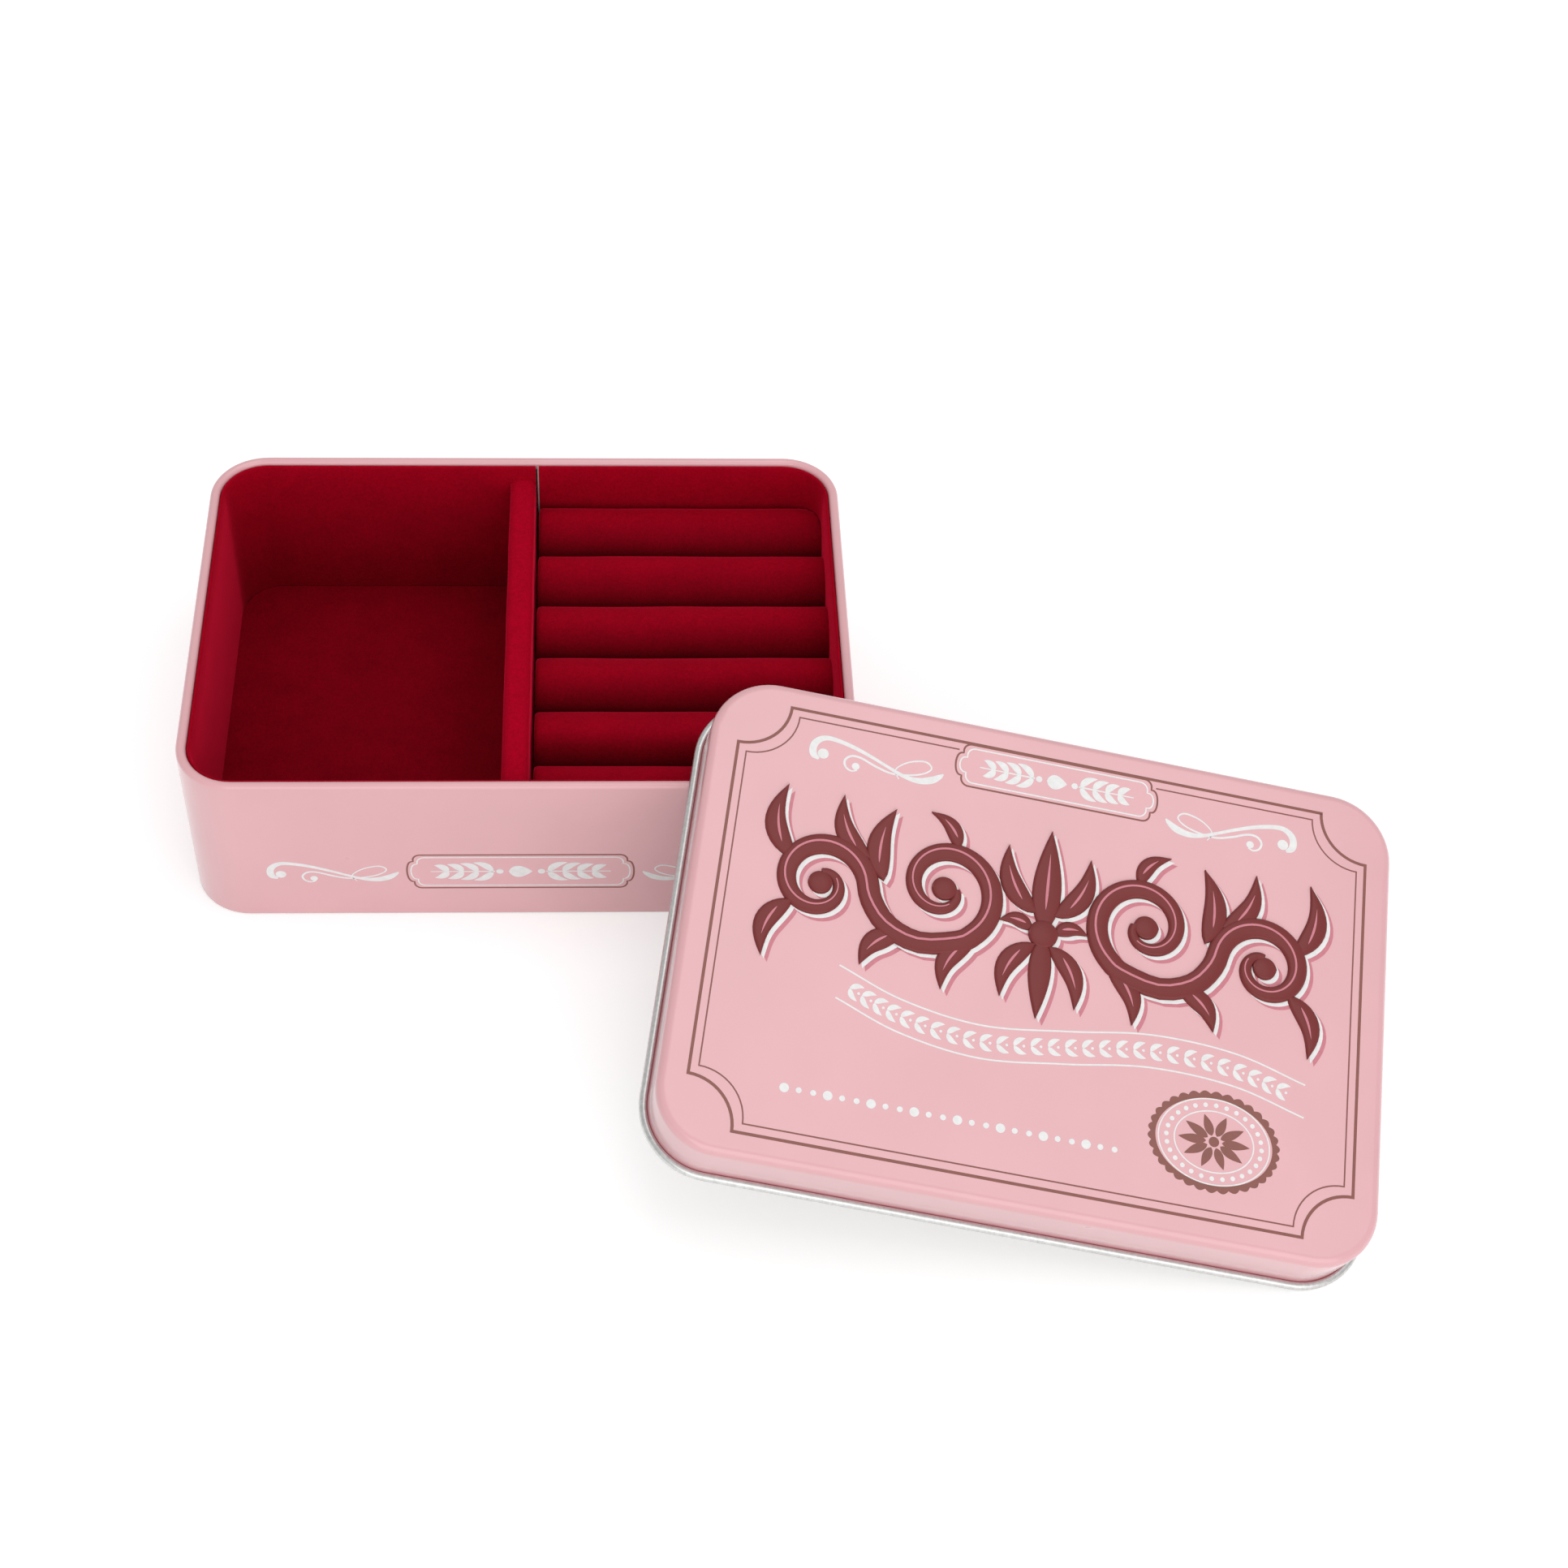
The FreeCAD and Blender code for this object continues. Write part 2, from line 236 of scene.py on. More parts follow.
def bare_tin(name, colour, roughness, streak):
    """Bare tinplate with fine streaks and a faint cloudiness; streak is how the grain is stretched."""
    material, tree, shader = new_material(name)
    lines = speckle(tree, place(tree, streak), scale=1.0, detail=3, roughness=0.65)
    grain = ramp(tree, lines, low=shade(colour, 0.84), high=shade(colour, 1.12), start=0.25, end=0.75)
    tree.links.new(grain, shader.inputs["Base Color"])
    cloud = speckle(tree, place(tree), scale=60, detail=3)
    dull = span(tree, cloud, low=roughness - 0.06, high=roughness + 0.1)
    tree.links.new(dull, shader.inputs["Roughness"])
    shader.inputs["Metallic"].default_value = 0.9
    bump(tree, shader, lines, distance=0.02 * MM, strength=0.4)
    return material


def velvet(name, light, shaded_colour, rise, sheen=1.0, patch=0.42, bend=1.0, facing_sheen=0.0):
    """Short-pile velvet with painted shade that darkens it low down: faint brushed patches, fine pile and
    a sheen along the edges.

    rise is the pair of heights over which the painted shade fades, from the shaded colour low down to the
    light one, and bend shapes that change.
    patch is the share of the brushed patches mixed with the painted shade. The last argument is painted
    sheen and shade by facing: how much lighter the sides that face the back are painted, and how much
    darker the sides that face the front.
    """
    material, tree, shader = new_material(name)
    where = place(tree)
    lowest, highest = rise
    # Painted shade: darker lower down, from the top of rise to its foot
    shade_depth = span(tree, coordinate(tree, where, "Z"), low=0, high=1, start=highest, end=lowest)
    curve = add(tree, "ShaderNodeMath", operation="POWER")
    tree.links.new(shade_depth, curve.inputs[0])
    curve.inputs[1].default_value = bend
    patches = speckle(tree, where, scale=120, detail=6, roughness=0.7)
    blend = add(tree, "ShaderNodeMix", data_type="FLOAT")
    blend.inputs["Factor"].default_value = patch
    tree.links.new(curve.outputs[0], blend.inputs["A"])
    tree.links.new(patches, blend.inputs["B"])
    colour = ramp(tree, blend.outputs["Result"], low=light, high=shaded_colour, start=0.15, end=0.9)
    pile = speckle(tree, where, scale=1500, detail=4, roughness=0.75)
    fuzz = ramp(tree, pile, low=shade((1, 1, 1), 0.82), high=shade((1, 1, 1), 1.2))
    # Painted sheen and shade by facing: lighter towards the back, darker towards the front
    facing = coordinate(tree, add(tree, "ShaderNodeTexCoord").outputs["Normal"], "Y")
    facing_light = span(tree, facing, low=1 - facing_sheen, high=1 + facing_sheen, start=-1)
    cloth = multiply(tree, multiply(tree, colour, fuzz), facing_light)
    tree.links.new(cloth, shader.inputs["Base Color"])
    shader.inputs["Roughness"].default_value = 0.95
    shader.inputs["Specular IOR Level"].default_value = 0.04
    shader.inputs["Sheen Weight"].default_value = sheen
    shader.inputs["Sheen Roughness"].default_value = 0.3
    shader.inputs["Sheen Tint"].default_value = SHEEN_TINT
    bump(tree, shader, pile, distance=0.2 * MM, strength=0.45)
    return material


def ink(name, colour):
    """Flat printed ink with a slightly uneven cover."""
    material, tree, shader = new_material(name)
    cover = speckle(tree, place(tree), scale=900, detail=3)
    tint = ramp(tree, cover, low=shade(colour, 0.94), high=shade(colour, 1.03))
    tree.links.new(tint, shader.inputs["Base Color"])
    dull = span(tree, cover, low=0.33, high=0.43)
    tree.links.new(dull, shader.inputs["Roughness"])
    shader.inputs["Specular IOR Level"].default_value = 0.4
    return material


def paperboard(name, colour):
    """Grey board with its flecks and layered fibres."""
    material, tree, shader = new_material(name)
    fibres = speckle(tree, place(tree, stretch=(1, 1, 6)), scale=420, detail=4, roughness=0.7)
    flecks = ramp(tree, fibres, low=shade(colour, 0.7), high=shade(colour, 1.15))
    tree.links.new(flecks, shader.inputs["Base Color"])
    shader.inputs["Roughness"].default_value = 0.92
    bump(tree, shader, fibres, distance=0.06 * MM, strength=0.5)
    return material


# Heights between which the painted shade on each velvet fades from its shaded colour to its light colour
ROLL_RISE = (27.5 * MM, 34.75 * MM)
WALL_RISE = (-10 * MM, 46 * MM)
FLOOR_RISE = (2.0 * MM, 5.2 * MM)
DIVIDER_RISE = (20 * MM, 40 * MM)
# The floor's velvet is the wall velvet darkened, as painted shade in the open compartment
FLOOR_VELVET_IN_SHADE = shade(VELVET, 0.78)
FLOOR_SHADED = shade(VELVET_SHADED, 0.8)

pink_paint = painted_tin("pink_paint", PINK)
chocolate_paint = painted_tin("chocolate_paint", CHOCOLATE, gloss=0.0, specular=0.22)
# Painted shade on the crevice between the lid's skirt and its hem
crevice_shade_paint = painted_tin("crevice_shade_paint", CREVICE_SHADE, roughness=0.5, gloss=0.0)
white_ink = ink("white_ink", INK_WHITE)
brown_ink = ink("brown_ink", FRAME_BROWN)
rose_ink = ink("rose_ink", ROSE)
hem_steel = bare_tin("hem_steel", STEEL, roughness=0.3, streak=(1500, 1500, 60))
inside_tin = bare_tin("inside_tin", INSIDE_TIN, roughness=0.4, streak=(30, 240, 30))
# The rolls get painted sheen on their back-facing sides and painted shade on their front-facing sides
roll_velvet = velvet("roll_velvet", ROLL_VELVET, ROLL_SHADED, ROLL_RISE, patch=0.36, bend=0.5, facing_sheen=0.42)
wall_velvet = velvet("wall_velvet", VELVET, VELVET_SHADED, WALL_RISE)
floor_velvet = velvet("floor_velvet", FLOOR_VELVET_IN_SHADE, FLOOR_SHADED, FLOOR_RISE, sheen=0.25, patch=0.5)
divider_velvet = velvet("divider_velvet", DIVIDER_VELVET, DIVIDER_SHADED, DIVIDER_RISE)
grey_board = paperboard("grey_board", BOARD)


# Lid: its own frame, found from the solid

# How near the top a point of the panel lies, how level an edge along it, and how far such an edge runs
# lengthwise for each step across
PANEL_SLACK = 0.02 * MM
LEVEL_SLACK = 0.001 * MM
LENGTHWISE = 3


def lid_frame():
    """Matrix from the lid's panel to the shared frame: x along the long side, y to the far side."""
    mesh = nodes["lid_shell"].data
    panel = max(mesh.polygons, key=lambda face: face.area)
    normal = panel.normal if panel.normal.z > 0 else -panel.normal
    height = max(normal.dot(vertex.co) for vertex in mesh.vertices)
    top = [vertex.co for vertex in mesh.vertices if normal.dot(vertex.co) > height - PANEL_SLACK]
    edges = [mesh.vertices[j].co - mesh.vertices[i].co for i, j in mesh.edge_keys]
    level = [edge for edge in edges if abs(normal.dot(edge)) < LEVEL_SLACK]
    lengthwise = [edge for edge in level if abs(edge.x) > LENGTHWISE * abs(edge.y)]
    long_side = max(lengthwise, key=lambda edge: edge.length).normalized()
    long_side = long_side if long_side.x > 0 else -long_side
    short_side = normal.cross(long_side)
    middle = normal * height
    for axis in (long_side, short_side):
        reach = [axis.dot(point) for point in top]
        middle += axis * (min(reach) + max(reach)) / 2
    return Matrix((
        (long_side.x, short_side.x, normal.x, middle.x),
        (long_side.y, short_side.y, normal.y, middle.y),
        (long_side.z, short_side.z, normal.z, middle.z),
        (0, 0, 0, 1),
    ))


LID = lid_frame()
FRONT = Matrix((
    (1, 0, 0, BASE_X),
    (0, 0, -1, WALL_LOW.y),
    (0, 1, 0, 0),
    (0, 0, 0, 1),
))


# Tin: paint, bare hem and bare inside, chosen face by face

def dress(node, materials, choose):
    """Give a solid its materials; choose says which of them a face has."""
    data = nodes[node].data
    data.materials.clear()
    for material in materials:
        data.materials.append(material)
    for face in data.polygons:
        face.use_smooth = True
        face.material_index = choose(face)


def only(face):
    """The one material of a plain solid."""
    return 0


# Top of the lid's hem, under its panel, and how far up the faces of the crevice over it are turned, which
# get painted shade
HEM_TOP = -12.95 * MM
CREVICE_LEAST = 0.3
CREVICE_MOST = 0.85
# A face of the lid's inside is turned down, or in, by more than this
INSIDE_DOWN = 0.5
INSIDE_IN = 0.2
# A face of the wall's inside is this far in from the outside, and this far under the top of the rim
INNER_FACE = 0.2 * MM
UNDER_RIM = 2.3 * MM
to_lid = LID.inverted()


def lid_face(face):
    """0 paint, 1 bare hem, 2 bare inside, 3 painted shade on the crevice between skirt and hem."""
    where = to_lid @ face.center
    facing = to_lid.to_3x3() @ face.normal
    outward = facing.x * where.x + facing.y * where.y
    inward = facing.z < -INSIDE_DOWN or outward < -INSIDE_IN * math.hypot(where.x, where.y)
    if where.z < HEM_TOP:
        return 3 if inward and CREVICE_LEAST < facing.z < CREVICE_MOST else 1
    return 2 if inward else 0


def wall_face(face):
    """0 paint, 1 bare inside; the rim keeps its paint all over."""
    past_x = max(0.0, abs(face.center.x - BASE_X) - CORE_X)
    past_y = max(0.0, abs(face.center.y - BASE_Y) - CORE_Y)
    inside = math.hypot(past_x, past_y) < CORNER_RADIUS - INNER_FACE
    below_rim = face.center.z < WALL_HIGH.z - UNDER_RIM
    return 1 if inside and below_rim else 0


dress("lid_shell", [pink_paint, hem_steel, inside_tin, crevice_shade_paint], lid_face)
dress("tin_body_wall", [pink_paint, inside_tin], wall_face)
dress("tin_bottom_plate", [inside_tin], only)
dress("left_lining_board", [grey_board], only)
dress("right_lining_board", [grey_board], only)
dress("left_floor_board", [grey_board], only)
dress("right_floor_board", [grey_board], only)
dress("divider_board", [grey_board], only)


# Velvet pieces

RIPPLE_STEP = (7.3, 3.1, 5.7)
# Angles over which the shading of a piece breaks, in degrees
ROLL_SMOOTH = 60
SHEET_SMOOTH = 50
PRINT_SMOOTH = 40


def ripple(point, scale, size, seed):
    """Smooth, repeatable unevenness."""
    return size * noise.noise(Vector(point) * scale + Vector([seed * step for step in RIPPLE_STEP]))


def keep_inside(point, reach):
    """Pull a point that is past a rounded corner of the base back to this reach from the corner's axis."""
    x = point.x - BASE_X
    y = point.y - BASE_Y
    out = Vector((abs(x) - CORE_X, abs(y) - CORE_Y))
    if out.x > 0 and out.y > 0 and out.length > reach:
        out = out * (reach / out.length)
        point.x = BASE_X + math.copysign(CORE_X + out.x, x)
        point.y = BASE_Y + math.copysign(CORE_Y + out.y, y)
    return point


# Ring rolls
ROLL_ROOM = 0.02 * MM
ROLL_CREST = 7.6 * MM
ROLL_CREST_STEPS = 25
ROLL_CREST_SINK = 0.2 * MM
ROLL_CORNER_REACH = CORNER_RADIUS - LINING_INSIDE - 0.25 * MM
# Side of a roll: share of its half width and height over the foot, then the same under the shoulder
ROLL_SIDE = [(0.955, 0.0), (0.965, 4 * MM), (0.98, 12 * MM)]
ROLL_UPPER_SHARE = 0.995
ROLL_UPPER_DROP = 4 * MM
# Rounding of the ends, how much of it draws in the sides, and the sections at each end and between them
ROLL_END_ROUND = 1.1 * MM
ROLL_END_NARROW = 0.45
ROLL_ENDS = [0.0, 0.08 * MM, 0.2 * MM, 0.4 * MM, 0.7 * MM, 1.1 * MM, 2.0 * MM]
ROLL_STRAIGHT = 4 * MM
ROLL_STEPS = 40
# How far each crest leans towards the back, from the back roll to the front one
CREST_LEAN = [0.7 * MM, 0.7 * MM, 0.0, -0.3 * MM, -1.3 * MM, 0.2 * MM]
# Seed of the crests' heights, apart from that of their lean
CREST_SEED = 20


def roll_section(foot, shoulder):
    """Share of the half width and level, up one side of a roll, over its crest and down the other."""
    side = [(-share, foot + rise) for share, rise in ROLL_SIDE]
    side.append((-ROLL_UPPER_SHARE, shoulder - ROLL_UPPER_DROP))
    turn = spread(0, math.pi, ROLL_CREST_STEPS)
    crest = [(-math.cos(a), shoulder + ROLL_CREST * math.sin(a)) for a in turn]
    return side + crest + [(-share, level) for share, level in reversed(side)]


def roll_stations(length):
    """Distances along a roll, closer together where its ends are rounded."""
    middle = spread(ROLL_STRAIGHT, length - ROLL_STRAIGHT, ROLL_STEPS)
    return ROLL_ENDS + middle + [length - end for end in reversed(ROLL_ENDS)]


def ring_roll(number):
    """Foam roll in velvet: full round top, sides drawn in to the foot, soft rounded ends."""
    low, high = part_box("ring_roll_%d_velvet" % number)
    middle = (low.y + high.y) / 2
    half = (high.y - low.y) / 2 - ROLL_ROOM
    shoulder = high.z - ROLL_CREST
    length = high.x - low.x
    section = roll_section(low.z, shoulder)
    loops = []
    for along in roll_stations(length):
        x = low.x + along
        short = max(0, ROLL_END_ROUND - min(along, length - along))
        round_in = ROLL_END_ROUND - math.sqrt(max(0, ROLL_END_ROUND ** 2 - short ** 2))
        lean = CREST_LEAN[number - 1] + ripple((x, 0, 0), scale=45, size=0.5 * MM, seed=number)
        loop = []
        for share, level in section:
            rise = max(0.0, (level - shoulder) / ROLL_CREST)
            y = middle + share * (half - ROLL_END_NARROW * round_in)
            y += lean * rise ** 2 * (1 - share ** 2)
            z = level - round_in * rise
            lift = ripple((x, y, 0), scale=60, size=0.35 * MM, seed=number + CREST_SEED)
            z += (lift - ROLL_CREST_SINK) * rise
            loop.append(keep_inside(Vector((x, y, z)), ROLL_CORNER_REACH))
        loops.append(loop)
    points, faces = skin(loops)
    roll = make_piece("ring_roll_%d" % number, points, faces, roll_velvet, "base", ROLL_SMOOTH)
    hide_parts("ring_roll_%d_velvet" % number, "ring_roll_%d_foam" % number)


for roll_number in range(1, len(CREST_LEAN) + 1):
    ring_roll(roll_number)


# Wall linings

# Upper edge of the velvet, which laps the inner face of the rim: how far in and how far up, in millimetres
LIP_OUT = CORNER_RADIUS - 2.32 * MM
LIP = [
    (0.0, 0.0), (0.0, 1.2), (0.12, 1.5), (0.32, 1.62), (0.52, 1.52), (0.66, 1.2),
    (0.76, 0.6), (0.86, -0.3), (0.96, -1.3),
]
# Width of the pale cut edge of the right lining, which shows beside the divider
CUT_EDGE = 0.3 * MM
LINING_LONG_STEPS = 30
LINING_SHORT_STEPS = 34
LINING_CORNER_STEPS = 13
LINING_LEVELS = 16
LINING_FACE_DROP = 2.4 * MM
LINING_SEED = 40


def lining_path(open_x, side):
    """Place and outward direction along a lining, from its far open end round to its near one."""
    corner = BASE_X + side * CORE_X
    far = BASE_Y + CORE_Y
    near = BASE_Y - CORE_Y
    far_run = [open_x] + spread(open_x + side * CUT_EDGE, corner, LINING_LONG_STEPS)
    path = [((x, far), (0, 1)) for x in far_run]
    for a in spread(QUARTER_TURN, 0, LINING_CORNER_STEPS)[1:]:
        path.append(((corner, far), (side * math.cos(a), math.sin(a))))
    path += [((corner, y), (side, 0)) for y in spread(far, near, LINING_SHORT_STEPS)[1:]]
    for a in spread(0, QUARTER_TURN, LINING_CORNER_STEPS)[1:]:
        path.append(((corner, near), (side * math.cos(a), -math.sin(a))))
    path += [((x, near), (0, -1)) for x in spread(corner, open_x, LINING_LONG_STEPS)[1:]]
    return [(Vector((*foot, 0)), Vector((*out, 0))) for foot, out in path]


def wall_lining(name, node, side):
    """Velvet sheet on a lining board: a U seen from above, with a soft lip along the rim."""
    low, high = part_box(node)
    outside = CORNER_RADIUS - LINING_INSIDE + LINING_THICKNESS
    path = lining_path(high.x if side < 0 else low.x, side)
    levels = spread(low.z, high.z - LINING_FACE_DROP, LINING_LEVELS)
    loops = []
    for foot, out in path:
        loop = [foot + out * outside + Vector((0, 0, level)) for level in (low.z, high.z)]
        for into, rise in LIP:
            loop.append(foot + out * (LIP_OUT - into * MM) + Vector((0, 0, high.z + rise * MM)))
        for level in reversed(levels):
            inner = foot + out * (outside - LINING_THICKNESS) + Vector((0, 0, level))
            loop.append(inner + out * ripple(inner, scale=70, size=0.07 * MM, seed=LINING_SEED + side))
        loops.append(loop if side < 0 else loop[::-1])
    points, faces = skin(loops)
    lining = make_piece(name, points, faces, wall_velvet, "base", SHEET_SMOOTH)
    if side > 0:
        lining.data.materials.append(grey_board)
        for face in lining.data.polygons[:len(loops[0])]:
            face.material_index = 1
    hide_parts(node)


wall_lining("left_wall_velvet", "left_lining_velvet", -1)
wall_lining("right_wall_velvet", "right_lining_velvet", 1)


# Floor of the open compartment
FLOOR_CORNER_REACH = CORNER_RADIUS - LINING_INSIDE - 0.2 * MM
FLOOR_SINK = 0.1 * MM
FLOOR_COLUMNS = 46
FLOOR_ROWS = 60
FLOOR_SEED = 60


def floor_cloth():
    """Velvet laid on the floor board of the open compartment, a little uneven."""
    low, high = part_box("left_floor_velvet")
    reach = FLOOR_CORNER_REACH
    loops = []
    for x in spread(low.x, high.x, FLOOR_COLUMNS):
        past = max(0.0, BASE_X - CORE_X - x)
        half = CORE_Y + (math.sqrt(max(0.0, reach ** 2 - past ** 2)) if past else reach)
        row = spread(BASE_Y - half, BASE_Y + half, FLOOR_ROWS)
        loop = [Vector((x, y, low.z)) for y in (row[0], row[-1])]
        for y in reversed(row):
            lift = ripple((x, y, 0), scale=55, size=0.1 * MM, seed=FLOOR_SEED)
            loop.append(Vector((x, y, high.z - FLOOR_SINK + lift)))
        loops.append(loop)
    points, faces = skin(loops)
    floor = make_piece("left_floor_cloth", points, faces, floor_velvet, "base", SHEET_SMOOTH)
    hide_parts("left_floor_velvet")


floor_cloth()


# Divider
WRAP_ROUND = 2.0 * MM
WRAP_ROOM = 0.03 * MM
WRAP_SINK = 0.1 * MM
WRAP_LEVELS = 12
WRAP_ROUND_STEPS = 8
WRAP_STEPS = 60
WRAP_SEED = 80


def wrap_outline(half, foot, top, radius):
    """Place across and level, up one face of the divider, over its rounded top and down the other."""
    side = [(half, level) for level in spread(foot, top - radius, WRAP_LEVELS)]
    for a in spread(0, QUARTER_TURN, WRAP_ROUND_STEPS)[1:]:
        side.append((half - radius + radius * math.cos(a), top - radius + radius * math.sin(a)))
    return side + [(-across, level) for across, level in reversed(side)]


def divider_wrap():
    """Velvet folded over the divider board: two faces and a soft rounded top."""
    low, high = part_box("divider_velvet")
    board_low, board_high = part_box("divider_board")
    middle = (low.x + high.x) / 2
    half = (high.x - low.x) / 2
    thickness = half - (board_high.x - board_low.x) / 2 - WRAP_ROOM
    outer = wrap_outline(half, low.z, high.z, WRAP_ROUND)
    inner = wrap_outline(half - thickness, low.z, high.z - thickness, WRAP_ROUND - thickness)
    loops = []
    for y in spread(low.y, high.y, WRAP_STEPS):
        loop = []
        for across, z in outer:
            sink = WRAP_SINK + ripple((across, y, z), scale=80, size=0.09 * MM, seed=WRAP_SEED)
            crown = max(0.0, min(1.0, (z - high.z) / WRAP_ROUND + 1))
            x = middle + across - math.copysign(sink, across) * (1 - crown / 2)
            loop.append(Vector((x, y, z - sink * crown)))
        loop += [Vector((middle + across, y, z)) for across, z in reversed(inner)]
        loops.append(loop[::-1])
    points, faces = skin(loops)
    wrap = make_piece("divider_wrap", points, faces, divider_velvet, "base", SHEET_SMOOTH)
    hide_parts("divider_velvet")


divider_wrap()


# Printed ornament: strokes of changing width, laid on a flat face; from here on sizes are in millimetres

# Least width of a stroke; each of a few strokes in turn is lower than the last by a share of the height
THINNEST = 0.02
STROKE_STEP = 0.02
STROKE_LEVELS = 7
FLAT_SHAPE = [(1, 0), (1, 1), (-1, 1), (-1, 0)]
# Rounded edge of a raised stroke: its width, at most this share of the stroke, and the least flat top left
DOME_EDGE = 0.6
DOME_EDGE_SHARE = 0.32
DOME_LEAST_FLAT = 0.05
DOME_SIDE = (0.985, 0.45)
DOME_TURN = 0.85
# Length of a dot as a share of its width
DOT_LENGTH = 0.999
DOT_STEPS = 13
# Leaf: powers for where it is widest and how blunt it is, the width of its tips, and its height if raised
LEAF_STEPS = 15
LEAF_FULL = 0.75
LEAF_BLUNT = 0.9
LEAF_TIP = 0.03
RAISED_LEAF_LEVEL = 0.8


def dome_shape(width):
    """Section of a raised stroke: steep sides and rounded edges to a flat top."""
    edge = min(DOME_EDGE, DOME_EDGE_SHARE * width)
    inner = max(DOME_LEAST_FLAT, 1 - 2 * edge / width)
    side = [(1, 0), DOME_SIDE, ((1 + inner) / 2, DOME_TURN), (inner, 1)]
    return side + [(-across, up) for across, up in reversed(side)]


class Print:
    """Strokes in one ink on one face of the tin, kept as one piece."""

    def __init__(self, name, face, body, material, base, top):
        """base and top: where the strokes start and end, in millimetres over the face."""
        self.name = name
        self.face = face
        self.body = body
        self.material = material
        self.base = base * MM
        self.top = top * MM
        self.points = []
        self.faces = []
        self.strokes = 0

    def stroke(self, path, dome=False, shift=(0, 0), level=1.0):
        """path: (x, y, width) along the middle of the stroke."""
        rails = []
        for i, (x, y, width) in enumerate(path):
            ahead = path[min(i + 1, len(path) - 1)]
            behind = path[max(i - 1, 0)]
            run = Vector((ahead[0] - behind[0], ahead[1] - behind[1]))
            side = Vector((-run.y, run.x)).normalized() * max(width, THINNEST) / 2
            middle = Vector((x + shift[0], y + shift[1]))
            rails.append((middle + side, middle - side))
        self.ribbon(rails, dome, level)

    def ribbon(self, rails, dome=False, level=1.0):
        """rails: the left and right edge of the stroke, station by station."""
        share = 1 - STROKE_STEP * (self.strokes % STROKE_LEVELS)
        height = (self.top - self.base) * level * share
        self.strokes += 1
        loops = []
        for left, right in rails:
            middle = (left + right) / 2
            side = (left - right) / 2
            shape = dome_shape(2 * side.length) if dome else FLAT_SHAPE
            loop = []
            for across, up in shape:
                flat = middle + side * across
                loop.append(self.face @ Vector((flat.x * MM, flat.y * MM, self.base + height * up)))
            loops.append(loop)
        points, faces = skin(loops)
        start = len(self.points)
        self.points += points
        self.faces += [tuple(start + i for i in face) for face in faces]

    def dot(self, x, y, radius, dome=False, shift=(0, 0)):
        path = []
        for a in spread(-QUARTER_TURN, QUARTER_TURN, DOT_STEPS):
            path.append((x + radius * math.sin(a) * DOT_LENGTH, y, 2 * radius * math.cos(a)))
        self.stroke(path, dome, shift)

    def leaf(self, start, end, width, bend=0.0, dome=False, shift=(0, 0)):
        """Pointed leaf from start to end, widest two fifths of the way along."""
        start = Vector(start)
        end = Vector(end)
        across = Vector((-(end - start).y, (end - start).x))
        path = []
        for t in spread(0, 1, LEAF_STEPS):
            spot = start + (end - start) * t + across * bend * math.sin(math.pi * t)
            full = math.sin(math.pi * t ** LEAF_FULL) ** LEAF_BLUNT
            path.append((spot.x, spot.y, width * full + LEAF_TIP))
        self.stroke(path, dome, shift, RAISED_LEAF_LEVEL if dome else 1.0)

    def done(self):
        """Make the piece of all the strokes."""
        piece = make_piece(self.name, self.points, self.faces, self.material, self.body, PRINT_SMOOTH)


# Double frame of the lid: half sizes of its two lines, their scooped corners and the gap for the label
FRAME_MIDDLE_Y = -0.1
FRAME_OUTER = (69.7, 47.95)
FRAME_INNER = (67.75, 46.0)
FRAME_OUTER_WIDTH = 0.66
FRAME_INNER_WIDTH = 0.32
FRAME_NOTCH = 10.4
FRAME_NOTCH_STEPS = 15
FRAME_GAP = 22.0


def frame_line(ink_print, half, width, gap=None):
    """Rectangle whose corners are scooped out by quarter circles; gap leaves out part of the far side."""
    half_x, half_y = half
    corners = [(half_x, half_y), (-half_x, half_y), (-half_x, -half_y), (half_x, -half_y)]
    for quarter, (x, y) in enumerate(corners):
        turn = math.pi + quarter * QUARTER_TURN
        arc = []
        for a in spread(turn + QUARTER_TURN, turn, FRAME_NOTCH_STEPS):
            arc_x = x + FRAME_NOTCH * math.cos(a)
            arc.append((arc_x, FRAME_MIDDLE_Y + y + FRAME_NOTCH * math.sin(a), width))
        ink_print.stroke(arc)
    over = width / 2
    low = FRAME_MIDDLE_Y - half_y
    high = FRAME_MIDDLE_Y + half_y
    for side in (1, -1):
        start = low + FRAME_NOTCH - over
        end = high - FRAME_NOTCH + over
        ink_print.stroke([(side * half_x, start, width), (side * half_x, end, width)])
    left = -half_x + FRAME_NOTCH - over
    right = half_x - FRAME_NOTCH + over
    ink_print.stroke([(left, low, width), (right, low, width)])
    far_runs = [(left, -gap), (gap, right)] if gap else [(left, right)]
    for start, end in far_runs:
        ink_print.stroke([(start, high, width), (end, high, width)])


